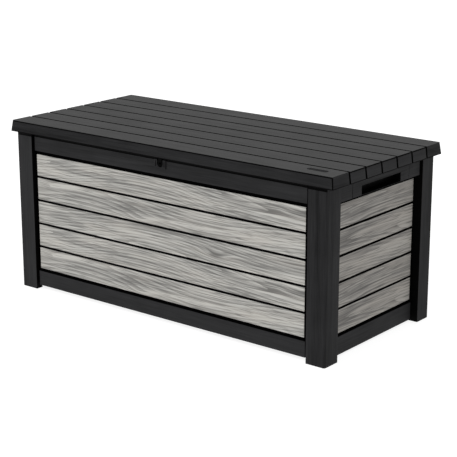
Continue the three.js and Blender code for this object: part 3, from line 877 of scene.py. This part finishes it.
@dataclass
class SlattedWalls:
    """Four walls: a dark sheet with two aprons, and five boards on each. Sizes are in mm."""

    easing: float = 1.0
    board_edge: float = 1.3
    board_wall: float = 3.0
    board_easing: float = 0.5
    behind_face: float = 2.0
    painted_shade_margin: float = 16.0
    pocket_inset: float = 2.0
    rows: int = 5
    prints: tuple[float, ...] = (0.0, 0.71, 1.37, 0.0, 0.71)

    def panel(self, node: str, finishes: Finishes, apron: bpy.types.Material) -> None:
        """Ease a wall's sheet, and paint shade behind its boards with the near-black material.

        Args:
            node: the wall's frame part.
            finishes: the box's finishes.
            apron: the finish of the plain bands.
        """
        low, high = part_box(node)
        along_x = high.x - low.x > high.y - low.y
        axis = 1 if along_x else 0
        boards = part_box(node.replace("panel", "slat_1"))
        top_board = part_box(node.replace("panel", f"slat_{self.rows}"))
        outward = 1 if low[axis] + high[axis] > 0 else -1
        board_face = abs(boards[1][axis] if outward > 0 else boards[0][axis])
        panel = eased(node, self.easing)
        panel.data.materials.clear()
        panel.data.materials.append(apron)
        if along_x:
            rebate(panel, high.y if outward > 0 else low.y, finishes.dark)
        if node == "front_panel":
            hasp_low, hasp_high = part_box("hasp_plate")
            inset = self.pocket_inset * MM
            # A pocket behind the hasp's opening, lined near-black: painted shade in the pocket.
            pocket = cuboid(
                "hasp_pocket",
                (hasp_low.x + inset, low.y - CUT_CLEAR, hasp_low.z + inset),
                (hasp_high.x - inset, low.y + inset, hasp_high.z - inset),
            )
            carve(panel, [pocket], finishes.dark)
            shade(panel)
        # Painted shade: the sheet's outer faces behind the boards, and a band above and below
        # them, get the near-black material.
        margin = self.painted_shade_margin * MM
        for polygon in panel.data.polygons:
            centre = polygon.center
            behind = abs(centre[axis]) < board_face - self.behind_face * MM
            between = boards[0].z - margin < centre.z < top_board[1].z + margin
            outside = polygon.normal[axis] * outward > -0.3
            if behind and between and outside:
                polygon.material_index = 1
        dress(panel, node, "box", "charcoal_resin", apron, finishes.dark)

    def board(self, node: str, axis: int, outward: int) -> bpy.types.Object:
        """Model one board, with its face's rim sloped back and its inside hollow.

        Args:
            node: its frame part.
            axis: 0 for a board that faces left or right, 1 for front or back.
            outward: 1 or -1, the way that its face looks along the axis.

        Returns:
            The board.
        """
        low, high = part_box(node)
        face, back = (high[axis], low[axis]) if outward > 0 else (low[axis], high[axis])
        other = 1 - axis
        way_out = Vector((0, 0, 0))
        way_out[axis] = outward
        board = cuboid("board", low, high)
        edit(board, "FACE", lambda place, normal: normal[axis] * outward > 0.9)
        bpy.ops.mesh.inset(thickness=self.board_edge * MM)
        done()
        edit(
            board,
            "EDGE",
            lambda place, way: abs(place[axis] - face) < TOUCH
            and (
                abs(place[other]) > high[other] - TOUCH
                or place.z < low.z + TOUCH
                or place.z > high.z - TOUCH
            ),
        )
        move_selected(way_out * -self.board_edge * MM)
        done()
        edit(
            board,
            "FACE",
            lambda place, normal: normal[axis] * outward < -0.9
            and abs(place[axis] - back) < TOUCH,
        )
        bpy.ops.mesh.inset(thickness=self.board_wall * MM)
        extrude_selected(way_out * (high[axis] - low[axis] - self.board_wall * MM))
        done()
        soften(board, self.board_easing)
        return board

    def paint_shade_on_sides(self, board: bpy.types.Object, axis: int) -> None:
        """Give a board's sides and back the near-black material: painted shade in the gaps between
        boards.

        Args:
            board: the board.
            axis: 0 for a board that faces left or right, 1 for front or back.
        """
        for polygon in board.data.polygons:
            outward = polygon.normal[axis] * (1 if polygon.center[axis] > 0 else -1)
            polygon.material_index = 0 if outward > 0.8 else 1

    def lay_print(self, board: bpy.types.Object, node: str, stretch: float) -> None:
        """Write each point's place on the timber print.

        Args:
            board: the board.
            node: its frame part.
            stretch: how far down the print this board starts, in metres.
        """
        low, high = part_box(node)
        middle = (low + high) / 2
        long_way = high.x - low.x > high.y - low.y
        layer = board.data.attributes.new("board_place", "FLOAT_VECTOR", "POINT")
        for vertex, entry in zip(board.data.vertices, layer.data):
            place = vertex.co - middle
            along, depth = (place.x, place.y) if long_way else (place.y, place.x)
            entry.vector = (along, depth + stretch, place.z)

    def build(self, finishes: Finishes) -> None:
        """Model and dress the walls and their boards.

        Args:
            finishes: the box's finishes.
        """
        for node in ("front_panel", "back_panel"):
            self.panel(node, finishes, finishes.long)
        for node in ("left_panel", "right_panel"):
            self.panel(node, finishes, finishes.cross)
        first_long = self.board("front_slat_1", 1, -1)
        first_end = self.board("right_slat_1", 0, 1)
        sets = [
            ("front", first_long, finishes.long_board, 0.0),
            ("back", mirrored(first_long, "back_board", y=-1), finishes.long_board, 3.3),
            ("right", first_end, finishes.shaded_end_board, 6.1),
            ("left", mirrored(first_end, "left_board", x=-1), finishes.shaded_end_board, 8.9),
        ]
        for wall, first, finish, start in sets:
            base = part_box(f"{wall}_slat_1")[0].z
            boards = [first]
            for row in range(1, self.rows):
                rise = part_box(f"{wall}_slat_{row + 1}")[0].z - base
                boards.append(copy_of(first, f"{wall}_{row}", (0, 0, rise)))
            for row, board in enumerate(boards):
                node = f"{wall}_slat_{row + 1}"
                self.lay_print(board, node, start + self.prints[row])
                self.paint_shade_on_sides(board, 1 if wall in ("front", "back") else 0)
                dress(board, node, "box", "wood_look_resin", finish, finishes.dark)


@dataclass
class PlankLid:
    """Lid moulded as seven planks, with a liner, two beams and a blank badge. Sizes are in mm."""

    draft_end: float = 6.0
    draft_front: float = 5.0
    wall: float = 4.0
    radius: float = 5.0
    planks: int = 7
    groove: float = 10.0
    groove_depth: float = 3.3
    seam: float = 4.0
    seam_depth: float = 2.4
    lip: float = 1.3
    notch_radius: float = 2.4
    easing: float = 0.8
    flare: float = 0.3
    flare_spread: float = 20.0
    shaded_rim: float = 3.4
    seam_beyond: float = 30.0
    seam_end: float = 2.0
    notch_inset: float = 1.0
    recess_margin: float = 0.3
    recess_rise: float = 2.0
    badge_radius: float = 9.0
    badge_rim: float = 1.2
    badge_step: float = 0.4
    badge_sink: float = 0.35
    badge_edge: float = 0.25

    def __post_init__(self) -> None:
        """Take the lid's place from the frame."""
        self.low, self.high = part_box("lid_shell")
        self.top_x = self.high.x - self.draft_end * MM
        self.top_y = self.high.y - self.draft_front * MM
        self.pitch = 2 * self.top_y / self.planks

    def cap(self) -> bpy.types.Object:
        """Model the drafted cap, open below.

        Returns:
            The cap.
        """
        low, high = self.low, self.high
        cap = cuboid("lid_cap", low, high)
        edit(cap, "FACE", lambda place, normal: normal.z > 0.9)
        bpy.ops.transform.resize(
            value=(self.top_x / high.x, self.top_y / high.y, 1), center_override=(0, 0, high.z)
        )
        done()
        edit(cap, "EDGE", lambda place, way: abs(way.z) > 0.9)
        bpy.ops.mesh.bevel(offset=self.radius * MM, segments=4, affect="EDGES")
        done()
        edit(cap, "FACE", lambda place, normal: True)
        bpy.ops.mesh.bisect(plane_co=(0, 0, low.z + self.shaded_rim * MM), plane_no=(0, 0, 1))
        done()
        edit(cap, "FACE", lambda place, normal: normal.z < -0.9)
        bpy.ops.mesh.inset(thickness=self.wall * MM)
        extrude_selected((0, 0, high.z - low.z - self.wall * MM))
        inner = (high.x - self.wall * MM, high.y - self.wall * MM)
        bpy.ops.transform.resize(
            value=(1 - self.draft_end * MM / inner[0], 1 - self.draft_front * MM / inner[1], 1),
            center_override=(0, 0, high.z),
        )
        done()
        return cap

    def grooves(self) -> list[bpy.types.Object]:
        """Model the tools that part the planks, over the top and down both ends.

        Returns:
            One tool for each groove.
        """
        high, low = self.high, self.low
        depth = self.groove_depth * MM
        half = self.groove / 2 * MM
        shoulder = self.top_x - depth
        tool = cuboid(
            "groove_tool",
            (-CUT_REACH, -half, high.z - depth),
            (CUT_REACH, half, high.z + CUT_CLEAR),
        )
        edit(tool, "FACE", lambda place, normal: True)
        bpy.ops.mesh.bisect(plane_co=(shoulder, 0, 0), plane_no=(1, 0, 0))
        bpy.ops.mesh.select_all(action="SELECT")
        bpy.ops.mesh.bisect(plane_co=(-shoulder, 0, 0), plane_no=(1, 0, 0))
        done()
        edit(tool, "FACE", lambda place, normal: True)
        bpy.ops.mesh.bisect(plane_co=(0, 0, high.z - self.flare * MM), plane_no=(0, 0, 1))
        done()
        edit(tool, "VERT", lambda place, normal: place.z > high.z + TOUCH)
        bpy.ops.transform.resize(
            value=(1, 1 + self.flare * MM / half * self.flare_spread, 1),
            center_override=(0, 0, high.z),
        )
        done()
        edit(tool, "FACE", lambda place, normal: normal.z < -0.9 and abs(place.x) > shoulder)
        drop = high.z - low.z + 2 * MM
        extrude_selected((0, 0, -drop))
        done()
        slope = self.draft_end * MM * drop / (high.z - low.z)
        for side in (-1, 1):
            edit(
                tool,
                "VERT",
                lambda place, normal: place.z < low.z
                and abs(place.x - side * shoulder) < TOUCH,
            )
            move_selected((side * slope, 0, 0))
            done()
        places = [(i - self.planks / 2) * self.pitch for i in range(1, self.planks)]
        tools = [copy_of(tool, f"groove_{i}", (0, y, 0)) for i, y in enumerate(places)]
        only(tool)
        bpy.ops.object.delete()
        return tools

    def seams(self) -> list[bpy.types.Object]:
        """Model the tools of the fine seams under the top's edges.

        Returns:
            The tools.
        """
        high = self.high
        top = high.z - self.lip * MM
        bottom = top - self.seam * MM
        depth = self.seam_depth * MM
        reach = self.top_x - self.seam_end * MM
        inner = (self.planks / 2 - 1) * self.pitch
        x, y = self.top_x - depth, self.top_y - depth
        beyond = self.seam_beyond * MM
        return [
            cuboid("seam_front", (-reach, -y - beyond, bottom), (reach, -y, top)),
            cuboid("seam_back", (-reach, y, bottom), (reach, y + beyond, top)),
            cuboid("seam_left", (-x - beyond, -inner, bottom), (-x, inner, top)),
            cuboid("seam_right", (x, -inner, bottom), (x + beyond, inner, top)),
        ]

    def notch(self, x: int, y: int) -> bpy.types.Object:
        """Model the tool of the fine line down one corner of the skirt.

        Args:
            x: -1 for a left corner, 1 for a right one.
            y: -1 for a front corner, 1 for a back one.

        Returns:
            The tool.
        """
        nothing_selected()
        inset = self.notch_inset * MM
        bottom = Vector((x * (self.high.x - inset), y * (self.high.y - inset), self.low.z))
        top = Vector((x * (self.top_x - inset), y * (self.top_y - inset), self.high.z - 2 * MM))
        way = top - bottom
        bpy.ops.mesh.primitive_cylinder_add(
            vertices=16,
            radius=self.notch_radius * MM,
            depth=way.length * 1.1,
            location=(top + bottom) / 2 - way * 0.06,
            rotation=way.to_track_quat("Z", "Y").to_euler(),
        )
        bpy.ops.object.transform_apply(location=True, rotation=True, scale=True)
        return bpy.context.object

    def recess(self) -> bpy.types.Object:
        """Model the tool of the badge's recess."""
        return self.pad("badge_recess", self.recess_margin, self.recess_rise)

    def pad(self, name: str, margin: float, rise: float) -> bpy.types.Object:
        """Model a pad with round ends on the badge's place.

        Args:
            name: the pad's name.
            margin: how much wider than the badge, in mm.
            rise: how far its top stands above the badge's, in mm.

        Returns:
            The pad.
        """
        low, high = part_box("lid_badge")
        grow = Vector((margin * MM, margin * MM, 0))
        pad = cuboid(name, low - grow, high + grow + Vector((0, 0, rise * MM)))
        edit(pad, "EDGE", lambda place, way: abs(way.z) > 0.9)
        bpy.ops.mesh.bevel(offset=(self.badge_radius + margin) * MM, segments=8, affect="EDGES")
        done()
        return pad

    def build(self, finishes: Finishes) -> None:
        """Model and dress the lid's pieces.

        Args:
            finishes: the box's finishes.
        """
        shell = self.cap()
        soften(shell, self.easing)
        shell.data.materials.append(finishes.lid)
        # The grooves, seams, corner lines and badge recess are lined near-black: painted shade in
        # them.
        carve(shell, self.grooves(), finishes.dark)
        carve(shell, self.seams(), finishes.dark)
        carve(shell, [self.notch(x, y) for x in (-1, 1) for y in (-1, 1)], finishes.dark)
        carve(shell, [self.recess()], finishes.dark)
        shade(shell)
        # Painted shade: faces of the bottom rim get the near-black material.
        for polygon in shell.data.polygons:
            if polygon.center.z < self.low.z + self.shaded_rim * MM:
                polygon.material_index = 1
            # Painted light: the top keeps the paler lid material, and the skirts take the darker
            # charcoal.
            elif polygon.material_index == 0 and polygon.normal.z < 0.5:
                polygon.material_index = 2 if abs(polygon.normal.y) > 0.5 else 3
        dress(
            shell,
            "lid_shell",
            "lid",
            "lid_resin",
            finishes.lid,
            finishes.dark,
            finishes.long,
            finishes.cross,
        )
        badge = self.pad("badge", 0, 0)
        edit(badge, "FACE", lambda place, normal: normal.z > 0.9)
        bpy.ops.mesh.inset(thickness=self.badge_rim * MM)
        bpy.ops.mesh.inset(thickness=self.badge_step * MM, depth=-self.badge_sink * MM)
        done()
        soften(badge, self.badge_edge)
        dress(badge, "lid_badge", "lid", "dark_resin", finishes.long)
        liner = eased("lid_liner", self.easing, whole_faces=False)
        dress(liner, "lid_liner", "lid", "charcoal_resin", finishes.cross)
        for node in ("lid_beam_left", "lid_beam_right"):
            dress(eased(node, self.easing), node, "lid", "dark_resin", finishes.dark)


@dataclass
class Fittings:
    """Floor, handles, hasp, hinges and struts, whose shapes the frame has. Sizes are in mm."""

    floor_edge: float = 1.0
    handle_edge: float = 1.4
    handle_skin: float = 0.1
    hasp_edge: float = 0.7
    small: float = 0.4
    pin_edge: float = 0.2
    strut_edge: float = 0.3

    def handle(self, side: Side, finishes: Finishes) -> None:
        """Ease a handle and paint shade inside its finger pocket with the near-black material.

        Args:
            side: the end of the box.
            finishes: the box's finishes.
        """
        node = f"{side.name.lower()}_handle"
        low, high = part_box(node)
        face = max(abs(low.x), abs(high.x))
        handle = eased(node, self.handle_edge)
        for polygon in handle.data.polygons:
            deep = abs(polygon.center.x) < face - self.handle_skin * MM
            polygon.material_index = 1 if deep else 0
        dress(handle, node, "box", "charcoal_resin", finishes.cross, finishes.dark)

    def build(self, finishes: Finishes) -> None:
        """Ease and dress the fittings.

        Args:
            finishes: the box's finishes.
        """
        floor = eased("floor_panel", self.floor_edge)
        dress(floor, "floor_panel", "box", "dark_resin", finishes.long)
        for side in Side:
            self.handle(side, finishes)
        hasp = eased("hasp_plate", self.hasp_edge)
        # Painted light and shade: faces toward the front or upward keep the charcoal, and the rest
        # get the near-black material.
        for polygon in hasp.data.polygons:
            lit = polygon.normal.y < -0.4 or polygon.normal.z > 0.4
            polygon.material_index = 0 if lit else 1
        dress(hasp, "hasp_plate", "box", "charcoal_resin", finishes.long, finishes.dark)
        tongue = eased("lid_hasp_tongue", self.small)
        dress(tongue, "lid_hasp_tongue", "lid", "dark_resin", finishes.dark)
        for where in ("left", "middle", "right"):
            for node, body in ((f"{where}_hinge_leaf", "box"), (f"{where}_lid_leaf", "lid")):
                dress(eased(node, self.small), node, body, "charcoal_resin", finishes.long)
            pin = f"{where}_hinge_pin"
            dress(eased(pin, self.pin_edge), pin, "box", "zinc_steel", finishes.zinc)
        for side in Side:
            where = side.name.lower()
            parts = [
                (f"{where}_strut_bracket", "box", "zinc_steel", finishes.zinc),
                (f"{where}_lid_stud", "lid", "zinc_steel", finishes.zinc),
                (f"{where}_strut_cylinder", f"{where}_cylinder", "black_paint", finishes.paint),
                (f"{where}_strut_rod", f"{where}_rod", "chromed_rod", finishes.chrome),
            ]
            for node, body, slot, finish in parts:
                dress(eased(node, self.strut_edge), node, body, slot, finish)


# ------------ studio


@dataclass
class Studio:
    """White sweep, soft lamps and the camera, in metres, degrees and mm of lens."""

    eye: Place = (3.312, -4.096, 1.7925)
    yaw: float = 38.54
    pitch: float = 15.88
    lens: float = 111.15
    sensor: float = 36.0
    floor_size: float = 600.0
    floor_drop: float = 0.5 * MM
    air: float = 0.36

    def floor(self) -> None:
        """Lay a pale floor that shades off evenly, well past the view."""
        nothing_selected()
        bpy.ops.mesh.primitive_plane_add(size=self.floor_size, location=(0, 0, -self.floor_drop))
        floor = bpy.context.object
        floor.name = "studio_floor"
        material, tree = new_material("White studio floor")
        place = put(tree, "TexCoord").outputs["Object"]
        mottle = put(tree, "TexNoise", {"Vector": place, "Scale": 2.0, "Detail": 2.0})
        tone = put(
            tree,
            "ValToRGB",
            {"Fac": mottle.outputs["Fac"]},
            stops=[(0.3, "#9c9c9c"), (0.7, "#a2a2a2")],
        )
        shader = put(
            tree,
            "BsdfPrincipled",
            {
                "Base Color": tone.outputs[0],
                "Roughness": 0.9,
                "Specular IOR Level": 0.1,
                "Emission Color": linear("#ffffff"),
                "Emission Strength": 0.86,
            },
        )
        put(tree, "OutputMaterial", {"Surface": shader.outputs[0]})
        floor.data.materials.append(material)

    def lamp(self, name: str, source: Place, strength: float, softness: float) -> None:
        """Hang a soft, far-off lamp.

        Args:
            name: the lamp's name.
            source: direction from the box to the lamp.
            strength: irradiance, in watts a square metre.
            softness: angle that the lamp fills, in degrees.
        """
        light = bpy.data.lights.new(name, "SUN")
        light.energy = strength
        light.angle = math.radians(softness)
        lamp = bpy.data.objects.new(name, light)
        lamp.rotation_euler = Vector(source).to_track_quat("Z", "Y").to_euler()
        bpy.context.collection.objects.link(lamp)

    def build(self) -> None:
        """Set the room, the lamps and the camera."""
        self.floor()
        self.lamp("front_softbox", (-0.45, -0.8, 0.6), 1.6, 50)
        self.lamp("overhead_softbox", (0.1, 0.1, 1.0), 1.0, 90)
        world = bpy.data.worlds.new("studio_air")
        world.use_nodes = True
        background = world.node_tree.nodes["Background"]
        background.inputs["Color"].default_value = linear("#ffffff")
        background.inputs["Strength"].default_value = self.air
        scene = bpy.context.scene
        scene.world = world
        scene.view_settings.view_transform = "Standard"
        data = bpy.data.cameras.new("camera")
        data.lens = self.lens
        data.sensor_width = self.sensor
        camera = bpy.data.objects.new("camera", data)
        camera.location = self.eye
        camera.rotation_euler = (math.radians(90 - self.pitch), 0, math.radians(self.yaw))
        bpy.context.collection.objects.link(camera)
        scene.camera = camera


def main() -> None:
    """Build the box, then the studio."""
    logging.basicConfig(level=logging.INFO, format="%(message)s")
    finishes = Finishes()
    for assembly in (CornerLegs(), SlattedWalls(), PlankLid(), Fittings()):
        log.info("building %s", type(assembly).__name__)
        assembly.build(finishes)
    Studio().build()


if __name__ == "__main__":
    main()
